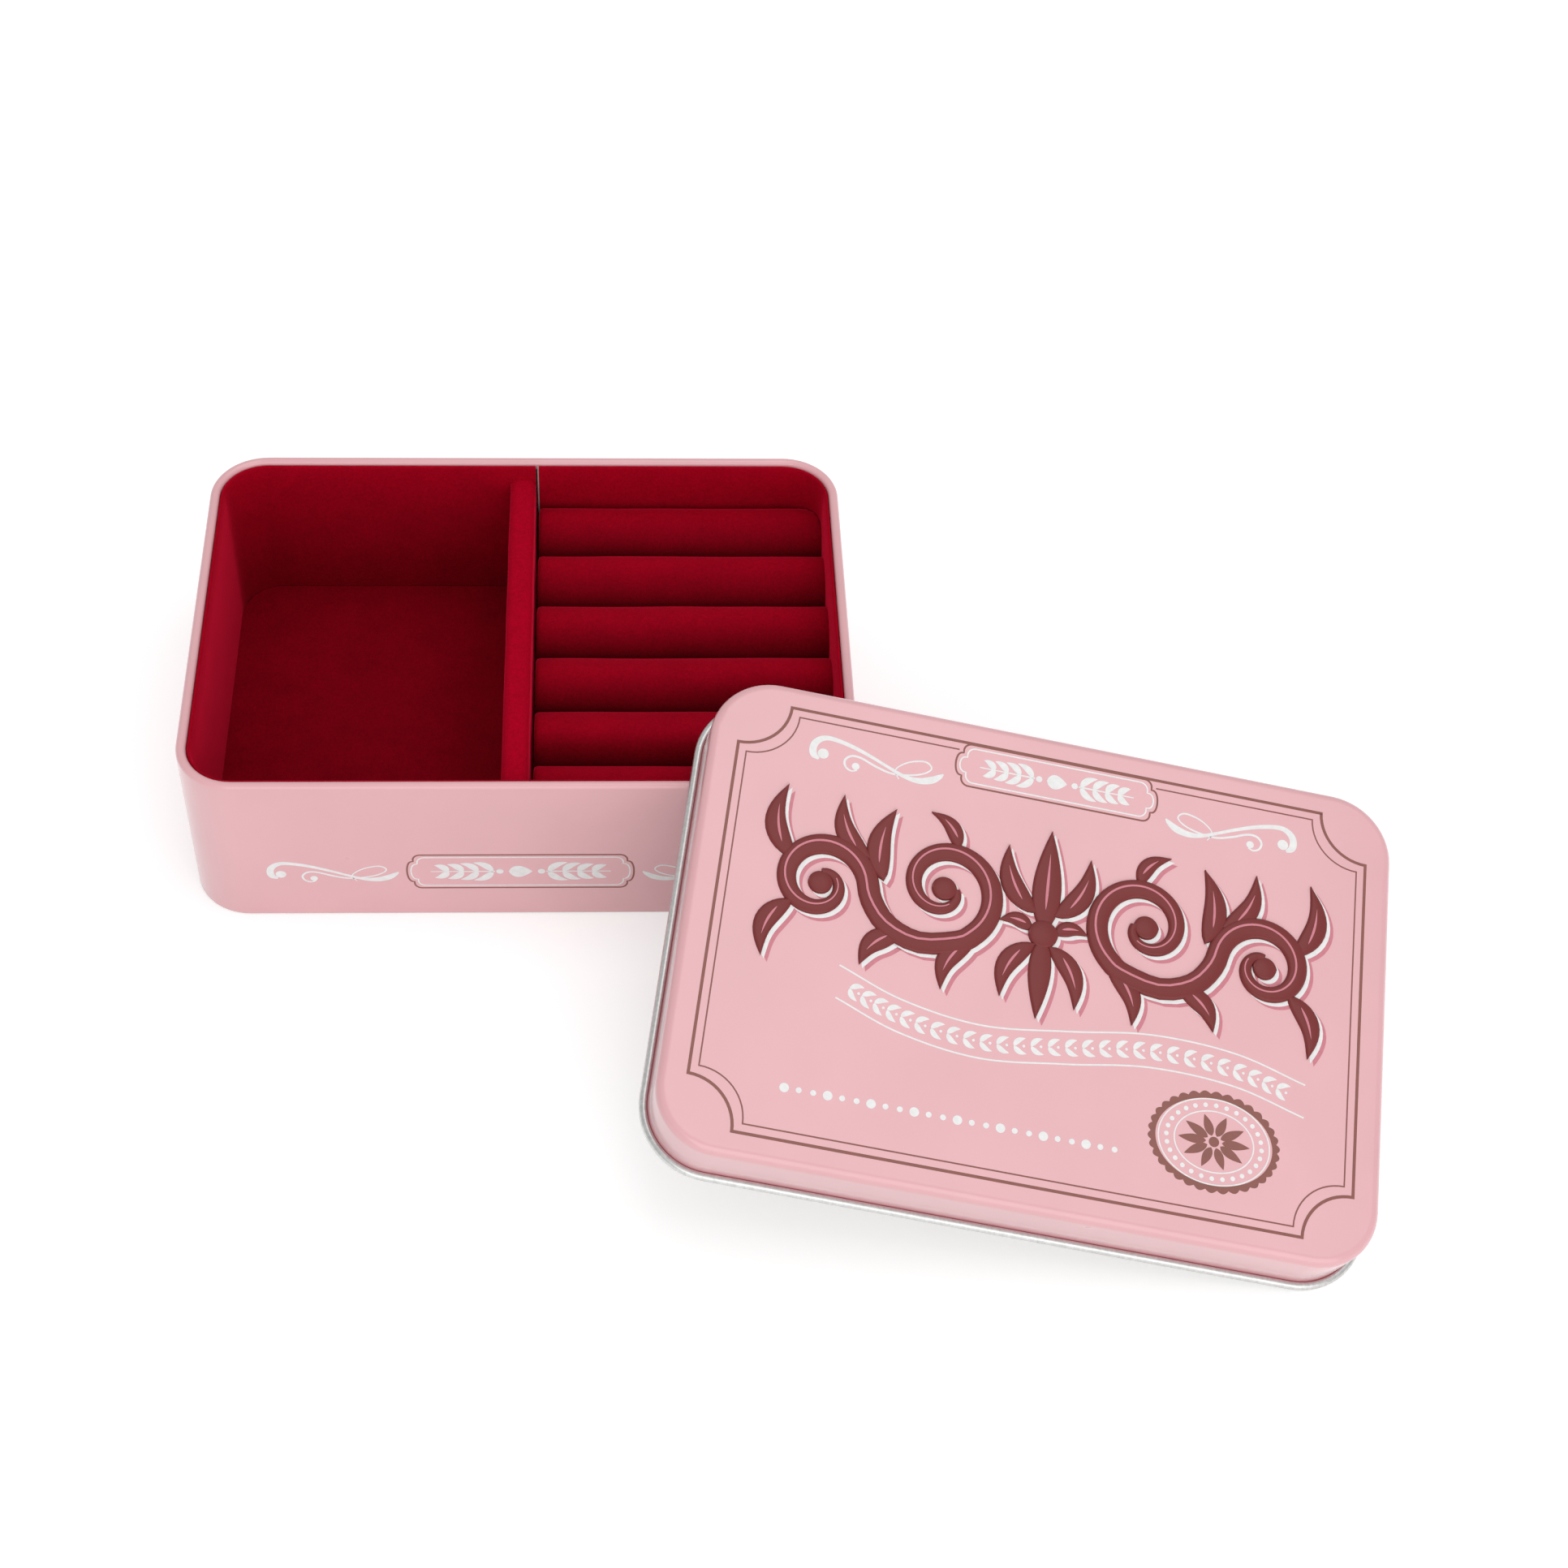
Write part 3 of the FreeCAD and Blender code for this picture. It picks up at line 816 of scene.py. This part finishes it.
# Scroll flourish, from its left end and lower edge: knots of its two strokes, and its dots
FLOURISH_LONG = [
    (2.4, 1.7, 0.6), (1.2, 2.5, 1.5), (0.85, 4.0, 1.6), (1.4, 5.6, 1.5), (3.0, 6.8, 1.2), (5.4, 6.9, 1.0),
    (9.5, 6.0, 0.9), (14.0, 4.4, 0.75), (17.8, 2.8, 0.7), (21.5, 1.4, 0.9), (24.5, 1.15, 1.4),
    (27.1, 1.85, 1.65), (28.8, 3.0, 1.1), (29.6, 3.8, 0.3),
]
FLOURISH_SHORT = [
    (10.9, 0.75, 0.3), (9.7, 0.35, 0.38), (8.4, 1.0, 0.45), (8.0, 2.5, 0.5), (9.2, 3.8, 0.5),
    (11.4, 3.8, 0.5), (14.8, 2.5, 0.5), (18.5, 1.6, 0.45), (22.6, 2.1, 0.4), (25.6, 3.2, 0.35),
    (26.9, 4.7, 0.35), (25.4, 5.9, 0.4), (22.2, 5.2, 0.35), (19.8, 3.6, 0.3), (19.1, 2.2, 0.25),
    (20.1, 0.6, 0.2),
]
FLOURISH_DOTS = [(3.2, 3.1, 1.2), (10.5, 1.6, 0.85)]
FLOURISH_LENGTH = 29.7


def flourish(ink_print, left, low, turned=False):
    """White scroll; turned mirrors it left to right."""
    def at(x):
        return left + (FLOURISH_LENGTH - x if turned else x)

    for knots in (FLOURISH_LONG, FLOURISH_SHORT):
        ink_print.stroke([(at(x), low + y, width) for x, y, width in smooth_path(knots)])
    for x, y, radius in FLOURISH_DOTS:
        ink_print.dot(at(x), low + y, radius)


# Label plate: its corners, the bulge on each end, and its brown and white lines
LABEL_CORNER = 1.7
LABEL_CORNER_STEPS = 9
LABEL_BULGE = 1.5
LABEL_BULGE_STEPS = 13
LABEL_BULGE_BLUNT = 0.7
LABEL_SHOULDER = 2.3
LABEL_BROWN_WIDTH = 0.4
LABEL_WHITE_WIDTH = 0.32
LABEL_WHITE_INSET = 0.9
# Leaf sprig, drawn for a label of this half height
SPRIG_HALF = 5.3
SPRIG_BUD = 2.4
SPRIG_BUD_WIDTH = 3.6
SPRIG_DOT = 4.2
SPRIG_DOT_RADIUS = 0.75
SPRIG_LEAVES = 4
SPRIG_FIRST = 5.6
SPRIG_STEP = 3.0
SPRIG_REACH = 4.6
SPRIG_REACH_STEP = 0.45
SPRIG_LEAF_ALONG = 0.85
SPRIG_LEAF_OUT = 0.62
SPRIG_LEAF_WIDTH = 1.6
SPRIG_LEAF_BEND = 0.14
SPRIG_STEM = [(5.2, 0.4), (18.2, 0.25)]


def label_outline(half_x, half_y):
    """Closed outline of a label plate: rounded corners, then a small step out to a bulge on each end."""
    side = half_x - LABEL_BULGE
    reach = half_y - LABEL_SHOULDER
    quarter = [(0.0, half_y)]
    for a in spread(0, QUARTER_TURN, LABEL_CORNER_STEPS):
        x = side - LABEL_CORNER + LABEL_CORNER * math.sin(a)
        quarter.append((x, half_y - LABEL_CORNER + LABEL_CORNER * math.cos(a)))
    for a in spread(QUARTER_TURN, 0, LABEL_BULGE_STEPS):
        quarter.append((side + LABEL_BULGE * math.cos(a) ** LABEL_BULGE_BLUNT, reach * math.sin(a)))
    half = quarter + [(x, -y) for x, y in reversed(quarter[:-1])]
    return half + [(-x, -y) for x, y in half[1:]]


def sprig(white, middle_y, size):
    """Bud with a stem of paired leaves to each side."""
    bud = SPRIG_BUD * size
    white.leaf((-bud, middle_y), (bud, middle_y), SPRIG_BUD_WIDTH * size)
    for side in (1, -1):
        white.dot(side * SPRIG_DOT * size, middle_y, SPRIG_DOT_RADIUS * size)
        for step in range(SPRIG_LEAVES):
            x = side * (SPRIG_FIRST + SPRIG_STEP * step) * size
            reach = (SPRIG_REACH - SPRIG_REACH_STEP * step) * size
            for hand in (1, -1):
                tip = (x + side * SPRIG_LEAF_ALONG * reach, middle_y + hand * SPRIG_LEAF_OUT * reach)
                white.leaf((x, middle_y), tip, SPRIG_LEAF_WIDTH * size, side * hand * SPRIG_LEAF_BEND)
        white.stroke([(side * along * size, middle_y, width) for along, width in SPRIG_STEM])


def label(brown, white, middle_y, half_x, half_y):
    """Bare label plate: brown outer line, white inner line and a leaf sprig."""
    outer = label_outline(half_x, half_y)
    inner = label_outline(half_x - LABEL_WHITE_INSET, half_y - LABEL_WHITE_INSET)
    brown.stroke([(x, middle_y + y, LABEL_BROWN_WIDTH) for x, y in outer])
    white.stroke([(x, middle_y + y, LABEL_WHITE_WIDTH) for x, y in inner])
    sprig(white, middle_y, half_y / SPRIG_HALF)


# Lid print

# Ink starts a little under the face and ends a little over it
INK_BASE = -0.05
BROWN_TOP = 0.03
WHITE_TOP = 0.035
lid_brown = Print("lid_brown_lines", LID, "lid", brown_ink, INK_BASE, BROWN_TOP)
lid_white = Print("lid_white_print", LID, "lid", white_ink, INK_BASE, WHITE_TOP)
frame_line(lid_brown, FRAME_OUTER, FRAME_OUTER_WIDTH)
frame_line(lid_brown, FRAME_INNER, FRAME_INNER_WIDTH, gap=FRAME_GAP)
flourish(lid_white, left=-54.5, low=35.4)
flourish(lid_white, left=24.5, low=35.4, turned=True)
label(lid_brown, lid_white, middle_y=42.6, half_x=22.5, half_y=5.0)

# Raised ornament across the middle of the lid, with its white edge and rose shadow
ORNAMENT_Y = 9.3
VOLUTE_STEPS = 26
VOLUTE_TURNS = 1.2
INNER_VOLUTE = (22.0, 3.5)
OUTER_VOLUTE = (48.3, -0.5)
INNER_VOLUTE_DOT = 2.7
OUTER_VOLUTE_DOT = 2.6
SWEEP = [(26.0, -9.6), (33.0, -7.2), (37.0, -2.4)]
SCROLL_WIDTH = 1.7
SCROLL_SWELL = 3.2
SCROLL_SWELL_BEND = 1.1
SCROLL_SMOOTH_STEPS = 3
# Leaves of the right half, from root to tip, with width and bend
LEAVES = [
    ((2.0, 2.0), (9.0, 16.5), 5.0, -0.16),
    ((2.5, -2.0), (9.6, -1.0), 3.4, 0.2),
    ((1.5, -5.0), (8.0, -18.0), 4.6, 0.18),
    ((14.5, -7.5), (20.5, -19.0), 4.6, 0.2),
    ((30.0, -9.0), (38.0, -17.0), 4.8, 0.2),
    ((35.0, 2.5), (34.0, 19.5), 5.2, -0.14),
    ((38.5, 7.0), (45.5, 20.5), 4.6, -0.18),
    ((54.4, 3.6), (57.6, 20.5), 4.8, -0.2),
    ((53.6, -5.6), (58.6, -19.0), 4.6, 0.2),
    ((20.0, 13.0), (26.5, 20.5), 3.6, 0.2),
]
# Upright leaves of the middle: root, tip and width
MIDDLE_LEAVES = [(-2, 21.5, 6.4), (-3, -21.5, 5.0)]
MIDDLE_DOT_Y = -2.5
MIDDLE_DOT = 3.2


def volute(middle, start, inner, outer):
    """Spiral from the inside out, turning to the left; start is the angle of its outer end, in degrees."""
    path = []
    for t in spread(0, 1, VOLUTE_STEPS):
        angle = math.radians(start) + 2 * math.pi * VOLUTE_TURNS * (t - 1)
        radius = inner + (outer - inner) * t
        path.append((middle[0] + radius * math.cos(angle), middle[1] + radius * math.sin(angle)))
    return path


def scroll_path(side):
    """Running scroll: an inner volute, a swelling sweep and an outer volute."""
    unwinding = volute(INNER_VOLUTE, start=250, inner=2.6, outer=12.0)
    winding = volute(OUTER_VOLUTE, start=165, inner=2.4, outer=10.2)[::-1]
    line = unwinding + SWEEP + winding
    path = []
    for i, (x, y) in enumerate(line):
        swell = math.sin(math.pi * i / (len(line) - 1)) ** SCROLL_SWELL_BEND
        path.append((side * x, ORNAMENT_Y + y, SCROLL_WIDTH + SCROLL_SWELL * swell))
    return smooth_path(path, SCROLL_SMOOTH_STEPS)


def ornament(target, dome=False, shift=(0, 0)):
    """Scrolls and leaves, the same to both sides of an upright pair of leaves."""
    for side in (1, -1):
        target.stroke(scroll_path(side), dome, shift)
        for (x, y), radius in ((INNER_VOLUTE, INNER_VOLUTE_DOT), (OUTER_VOLUTE, OUTER_VOLUTE_DOT)):
            target.dot(side * x, ORNAMENT_Y + y, radius, dome, shift)
        for (x, y), (tip_x, tip_y), width, bend in LEAVES:
            start = (side * x, ORNAMENT_Y + y)
            end = (side * tip_x, ORNAMENT_Y + tip_y)
            target.leaf(start, end, width, side * bend, dome, shift)
    for root, tip, width in MIDDLE_LEAVES:
        target.leaf((0, ORNAMENT_Y + root), (0, ORNAMENT_Y + tip), width, 0, dome, shift)
    target.dot(0, ORNAMENT_Y + MIDDLE_DOT_Y, MIDDLE_DOT, dome, shift)


# Rose line on the raised scrolls: points left out at each end, its shift and its width, as shares
INLINE_SKIP = 12
INLINE_SHIFT = 0.12
INLINE_WIDTH = 0.10
# Rose line on each raised leaf: where it starts and ends, as shares, its shift and bend, and its width
VEIN_NEAR = 0.22
VEIN_FAR = 0.72
VEIN_SHIFT = 0.72
VEIN_BEND = 0.28
VEIN_WIDTH = 0.5
MIDDLE_VEIN_ROOT = 3
MIDDLE_VEIN_TIP = 16
MIDDLE_VEIN_WIDTH = 0.6


def scroll_inline(target, side):
    """Line along a raised scroll, a little up and to the left of its middle."""
    path = []
    for x, y, width in scroll_path(side)[INLINE_SKIP:-INLINE_SKIP]:
        path.append((x - INLINE_SHIFT * width, y + INLINE_SHIFT * width, INLINE_WIDTH * width))
    target.stroke(path)


def leaf_veins(target, side):
    """Line along each raised leaf of one half."""
    for (x, y), (tip_x, tip_y), _, bend in LEAVES:
        start = (side * (x + (tip_x - x) * VEIN_NEAR), ORNAMENT_Y + y + (tip_y - y) * VEIN_NEAR)
        end = (side * (x + (tip_x - x) * VEIN_FAR), ORNAMENT_Y + y + (tip_y - y) * VEIN_FAR)
        across = Vector((-(tip_y - y), side * (tip_x - x))) * bend * VEIN_SHIFT * side
        target.leaf(Vector(start) + across, Vector(end) + across, VEIN_WIDTH, side * bend * VEIN_BEND)


lid_rose = Print("lid_rose_shadow", LID, "lid", rose_ink, INK_BASE, top=0.02)
lid_edge = Print("lid_white_edge", LID, "lid", white_ink, INK_BASE, top=0.045)
lid_raised = Print("lid_raised_ornament", LID, "lid", chocolate_paint, base=-0.1, top=0.75)
lid_inline = Print("lid_inline_print", LID, "lid", rose_ink, base=0.45, top=0.785)
lid_leaf_inline = Print("lid_leaf_inline_print", LID, "lid", rose_ink, base=0.3, top=0.61)
ornament(lid_rose, shift=(1.5, -1.25))
ornament(lid_edge, shift=(0.75, -0.65))
ornament(lid_raised, dome=True)
for half_side in (1, -1):
    scroll_inline(lid_inline, half_side)
    leaf_veins(lid_leaf_inline, half_side)
vein_root = (0, ORNAMENT_Y + MIDDLE_VEIN_ROOT)
vein_tip = (0, ORNAMENT_Y + MIDDLE_VEIN_TIP)
lid_leaf_inline.leaf(vein_root, vein_tip, MIDDLE_VEIN_WIDTH)

# Wavy band with a laurel chain, below the ornament: knots of its upper line
BAND = [(-42, -8.6), (-28, -13.6), (-11, -15.8), (7, -13.6), (25, -10.8), (43, -11.4), (58.5, -15.4)]
BAND_HEIGHT = 7.2
BAND_LINE = 0.36
BAND_LINE_STEPS = 10
CHAIN_STEPS = 5
CHAIN_LEAF_ALONG = 2.6
CHAIN_LEAF_OUT = 1.7
CHAIN_LEAF_WIDTH = 1.15
CHAIN_LEAF_BEND = 0.14
CHAIN_DOT_ALONG = 2.1
CHAIN_DOT = 0.3


def band():
    """Two wavy lines with a laurel chain between them."""
    for drop in (0.0, BAND_HEIGHT):
        lid_white.stroke(smooth_path([(x, y - drop, BAND_LINE) for x, y in BAND], BAND_LINE_STEPS))
    chain = smooth_path([(x, y - BAND_HEIGHT / 2) for x, y in BAND], CHAIN_STEPS)
    for (x, y), (next_x, next_y) in list(zip(chain, chain[1:]))[1:-1]:
        run = Vector((next_x - x, next_y - y)).normalized()
        out = Vector((-run.y, run.x))
        root = Vector((x, y))
        for hand in (1, -1):
            tip = root + run * CHAIN_LEAF_ALONG + out * hand * CHAIN_LEAF_OUT
            lid_white.leaf(root, tip, CHAIN_LEAF_WIDTH, hand * CHAIN_LEAF_BEND)
        lid_white.dot(x + CHAIN_DOT_ALONG * run.x, y + CHAIN_DOT_ALONG * run.y, CHAIN_DOT)


band()

# Row of small dots along the near side, with larger ones among them
DOT_ROW_START = -50.0
DOT_ROW_STEP = 3.0
DOT_ROW_Y = -37.0
DOT_ROW_COUNT = 24
DOT_ROW_SMALL = 0.62
DOT_ROW_LARGE = 1.0
DOT_ROW_LARGE_EVERY = 3
for dot_number in range(DOT_ROW_COUNT):
    dot_radius = DOT_ROW_SMALL if dot_number % DOT_ROW_LARGE_EVERY else DOT_ROW_LARGE
    lid_white.dot(DOT_ROW_START + DOT_ROW_STEP * dot_number, DOT_ROW_Y, dot_radius)

# Scalloped seal: its middle and half sizes, and its rings as shares of them
SEAL = (39.7, -31.4)
SEAL_X = 14.1
SEAL_Y = 10.9
SEAL_SCALLOPS = 34
SEAL_SCALLOP_STEPS = 12
SEAL_EDGE = 1.0
SEAL_SCALLOP = 0.65
SEAL_LINES = (0.84, 0.6)
SEAL_LINE_WIDTH = 0.28
SEAL_LINE_STEPS = 97
SEAL_DOTS = 28
SEAL_DOT_RING = 0.72
SEAL_DOT = 0.5
SEAL_PETALS = 10
SEAL_PETAL_ROOT = 0.12
SEAL_PETAL_TIP = 0.54
SEAL_PETAL_WIDTH = 1.9
SEAL_HEART = 1.1


def seal():
    """Scalloped oval with a rosette in it."""
    edge = []
    for a in spread(0, 2 * math.pi, SEAL_SCALLOP_STEPS * SEAL_SCALLOPS + 1):
        bulge = SEAL_SCALLOP * (abs(math.sin(a * SEAL_SCALLOPS / 2)) - 1)
        rails = []
        for out in (-SEAL_EDGE - SEAL_SCALLOP, bulge):
            x = SEAL[0] + (SEAL_X + out) * math.cos(a)
            rails.append(Vector((x, SEAL[1] + (SEAL_Y + out) * math.sin(a))))
        edge.append(rails)
    lid_brown.ribbon(edge)
    for share in SEAL_LINES:
        line = []
        for a in spread(0, 2 * math.pi, SEAL_LINE_STEPS):
            x = SEAL[0] + SEAL_X * share * math.cos(a)
            line.append((x, SEAL[1] + SEAL_Y * share * math.sin(a), SEAL_LINE_WIDTH))
        lid_white.stroke(line)
    for step in range(SEAL_DOTS):
        a = 2 * math.pi * step / SEAL_DOTS
        x = SEAL[0] + SEAL_X * SEAL_DOT_RING * math.cos(a)
        lid_white.dot(x, SEAL[1] + SEAL_Y * SEAL_DOT_RING * math.sin(a), SEAL_DOT)
    middle = Vector(SEAL)
    for step in range(SEAL_PETALS):
        a = 2 * math.pi * step / SEAL_PETALS
        reach = Vector((SEAL_X * math.cos(a), SEAL_Y * math.sin(a)))
        lid_brown.leaf(middle + reach * SEAL_PETAL_ROOT, middle + reach * SEAL_PETAL_TIP, SEAL_PETAL_WIDTH)
    lid_brown.dot(SEAL[0], SEAL[1], SEAL_HEART)


seal()
for lid_print in (lid_brown, lid_white, lid_rose, lid_edge, lid_raised, lid_inline, lid_leaf_inline):
    lid_print.done()

# Front print
front_brown = Print("front_brown_lines", FRONT, "base", brown_ink, INK_BASE, BROWN_TOP)
front_white = Print("front_white_print", FRONT, "base", white_ink, INK_BASE, WHITE_TOP)
label(front_brown, front_white, middle_y=15.6, half_x=25.5, half_y=5.9)
flourish(front_white, left=-57.0, low=11.7)
flourish(front_white, left=27.4, low=11.7, turned=True)
front_brown.done()
front_white.done()


# Stage, light and camera, in metres again

TABLE_HALF = 6
TABLE_DROP = 0.1 * MM
TABLE_GLOW = 0.42
SKY = 0.63


def pale_floor():
    """Pale table that looks a little brighter to the camera and in reflections than it lights the box."""
    material, tree, shader = new_material("pale_floor")
    shader.inputs["Base Color"].default_value = TABLE
    shader.inputs["Roughness"].default_value = 0.9
    shader.inputs["Specular IOR Level"].default_value = 0.1
    rays = add(tree, "ShaderNodeLightPath")
    seen = add(tree, "ShaderNodeMath", operation="MAXIMUM")
    glow = add(tree, "ShaderNodeMath", operation="MULTIPLY")
    tree.links.new(rays.outputs["Is Camera Ray"], seen.inputs[0])
    tree.links.new(rays.outputs["Is Glossy Ray"], seen.inputs[1])
    tree.links.new(seen.outputs[0], glow.inputs[0])
    glow.inputs[1].default_value = TABLE_GLOW
    shader.inputs["Emission Color"].default_value = WHITE
    tree.links.new(glow.outputs[0], shader.inputs["Emission Strength"])
    mesh = bpy.data.meshes.new("floor")
    corners = [(-1, -1), (1, -1), (1, 1), (-1, 1)]
    mesh.from_pydata([(x * TABLE_HALF, y * TABLE_HALF, 0) for x, y in corners], [], [(0, 1, 2, 3)])
    mesh.materials.append(material)
    floor = bpy.data.objects.new("floor", mesh)
    floor.location.z = -TABLE_DROP
    bpy.context.scene.collection.objects.link(floor)


def lamp(name, place_at, aim, width, height, power):
    """Rectangular lamp turned towards the point that it is aimed at."""
    light = bpy.data.lights.new(name, "AREA")
    light.shape = "RECTANGLE"
    light.size = width
    light.size_y = height
    light.energy = power
    holder = bpy.data.objects.new(name, light)
    holder.location = place_at
    holder.rotation_mode = "QUATERNION"
    holder.rotation_quaternion = (Vector(aim) - Vector(place_at)).to_track_quat("-Z", "Y")
    bpy.context.scene.collection.objects.link(holder)


def studio():
    """Even white surroundings, a key lamp overhead to the right and a wide lamp in front."""
    world = bpy.data.worlds.new("studio")
    world.use_nodes = True
    sky = world.node_tree.nodes["Background"]
    sky.inputs["Color"].default_value = WHITE
    sky.inputs["Strength"].default_value = SKY
    bpy.context.scene.world = world
    lamp("key", place_at=(0.35, 0.05, 1.5), aim=(0, 0, 0), width=1.1, height=1.1, power=4.2)
    lamp("front", place_at=(0.3, -1.6, 0.85), aim=(0.0, -0.05, 0.3), width=2.2, height=1.5, power=14)
    bpy.context.scene.view_settings.view_transform = "Standard"


# Camera found from the photograph, 1932 pixels square
PHOTO_SIZE = 1932
FOCAL_PIXELS = 3243.84
CENTRE_PIXEL_X = 863.5
CAMERA_PLACE = Vector((20.37 * MM + BASE_X, -421.44 * MM + BASE_Y, 481.34 * MM))
CAMERA_DOWN = math.radians(49.69)
CAMERA_TURN = math.radians(-3.02)
CAMERA_ROLL = math.radians(-2.18)
SENSOR_WIDTH = 36
NEAREST_SEEN = 0.01


def camera():
    """The photograph's view: ahead and down, turned and rolled a little."""
    data = bpy.data.cameras.new("camera")
    data.sensor_width = SENSOR_WIDTH
    data.lens = FOCAL_PIXELS * SENSOR_WIDTH / PHOTO_SIZE
    data.shift_x = (PHOTO_SIZE / 2 - CENTRE_PIXEL_X) / PHOTO_SIZE
    data.clip_start = NEAREST_SEEN
    right = Vector((math.cos(CAMERA_TURN), math.sin(CAMERA_TURN), 0))
    level = math.cos(CAMERA_DOWN)
    ahead_x = -math.sin(CAMERA_TURN) * level
    ahead_y = math.cos(CAMERA_TURN) * level
    ahead = Vector((ahead_x, ahead_y, -math.sin(CAMERA_DOWN)))
    up = right.cross(ahead)
    across = right * math.cos(CAMERA_ROLL) - up * math.sin(CAMERA_ROLL)
    upward = right * math.sin(CAMERA_ROLL) + up * math.cos(CAMERA_ROLL)
    holder = bpy.data.objects.new("camera", data)
    holder.matrix_world = Matrix((
        (across.x, upward.x, -ahead.x, CAMERA_PLACE.x),
        (across.y, upward.y, -ahead.y, CAMERA_PLACE.y),
        (across.z, upward.z, -ahead.z, CAMERA_PLACE.z),
        (0, 0, 0, 1),
    ))
    bpy.context.scene.collection.objects.link(holder)
    bpy.context.scene.camera = holder


pale_floor()
studio()
camera()
